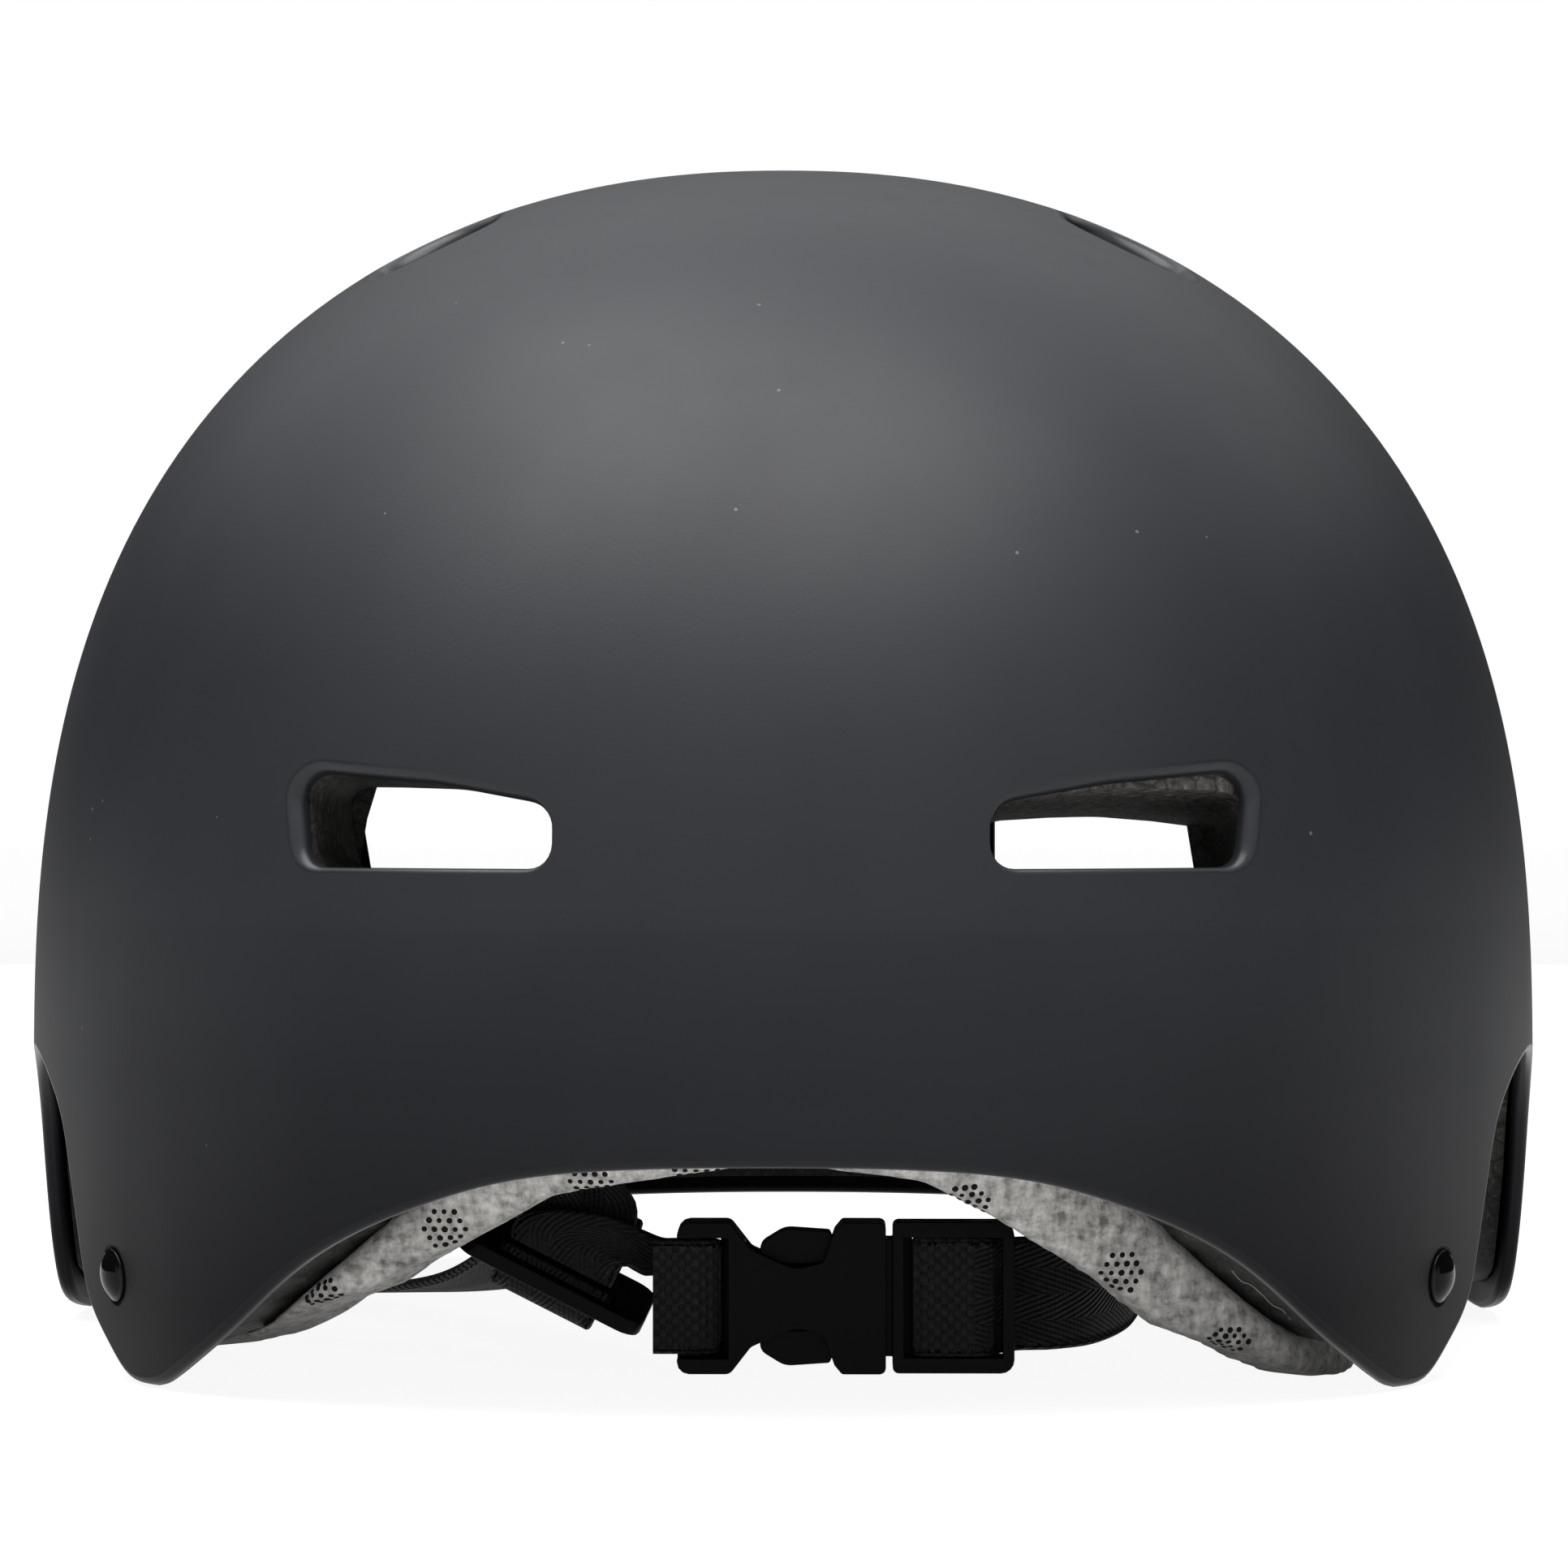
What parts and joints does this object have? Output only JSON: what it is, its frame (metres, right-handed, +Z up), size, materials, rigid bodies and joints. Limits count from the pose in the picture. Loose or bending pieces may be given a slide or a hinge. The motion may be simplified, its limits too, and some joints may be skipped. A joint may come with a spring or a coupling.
{
  "type": "bicycle helmet",
  "caption": "Round hard-shell bicycle helmet with a foam liner, fit pads, vents and a webbing harness with sliders and a side-release buckle.",
  "frame": {"origin": "on the table under the middle of the shell's length and width", "axes": "+Z up, -Y towards the brow (the front), +X to the viewer's right when the brow faces the viewer"},
  "size_m": [0.216, 0.2708, 0.167],
  "materials": {
    "shell": "matt charcoal moulded shell with fine dust specks",
    "foam": "black bead foam",
    "pad": "heathered grey knit over soft foam",
    "hook_tape": "black hook-and-loop tape",
    "webbing": "black ribbed webbing",
    "rivet": "glossy black head",
    "washer_steel": "plain zinc-plated steel",
    "hardware": "black moulded acetal, satin"
  },
  "bodies": {
    "helmet": {"outer_shell": "shell", "foam_liner": "foam", "brow_pad": "pad", "nape_pad": "pad", "side_pad_left": "pad", "side_pad_right": "pad", "crown_pad": "pad", "pad_patches": "hook_tape", "front_rivet_left": "rivet", "front_rivet_right": "rivet", "rear_rivet_left": "rivet", "rear_rivet_right": "rivet", "rivet_washers": "washer_steel", "front_strap_left": "webbing", "rear_strap_left": "webbing", "chin_strap_left": "webbing", "front_strap_right": "webbing", "rear_strap_right": "webbing", "chin_strap_right": "webbing", "buckle_socket": "hardware"},
    "plug": {"buckle_plug": "hardware"},
    "arm_upper": {"latch_arm_upper": "hardware"},
    "arm_lower": {"latch_arm_lower": "hardware"},
    "slider_left": {"strap_slider_left": "hardware"},
    "slider_right": {"strap_slider_right": "hardware"}
  },
  "joints": [
    {"name": "buckle_release", "type": "slide", "parent": "helmet", "child": "plug", "axis": [1, 0, 0], "range_m": [0, 0.024], "deforming": ["chin_strap_right", "latch_arm_upper", "latch_arm_lower"]},
    {"name": "latch_squeeze_upper", "type": "hinge", "parent": "plug", "child": "arm_upper", "pos_m": [0.01135, -0.07, 0.0157], "axis": [0, -1, 0], "range_deg": [0, 8], "stiffness_Nm_per_rad": 0.05},
    {"name": "latch_squeeze_lower", "type": "hinge", "parent": "plug", "child": "arm_lower", "pos_m": [0.01135, -0.07, 0.0051], "axis": [0, 1, 0], "range_deg": [0, 8], "stiffness_Nm_per_rad": 0.05},
    {"name": "slider_left_slide", "type": "slide", "parent": "helmet", "child": "slider_left", "axis": [0.4441, -0.2079, 0.8715], "range_m": [0, 0.008], "deforming": ["front_strap_left", "rear_strap_left", "chin_strap_left"]},
    {"name": "slider_right_slide", "type": "slide", "parent": "helmet", "child": "slider_right", "axis": [-0.769, 0.6392, 0], "range_m": [0, 0.008], "deforming": ["front_strap_right", "rear_strap_right", "chin_strap_right"]}
  ]
}
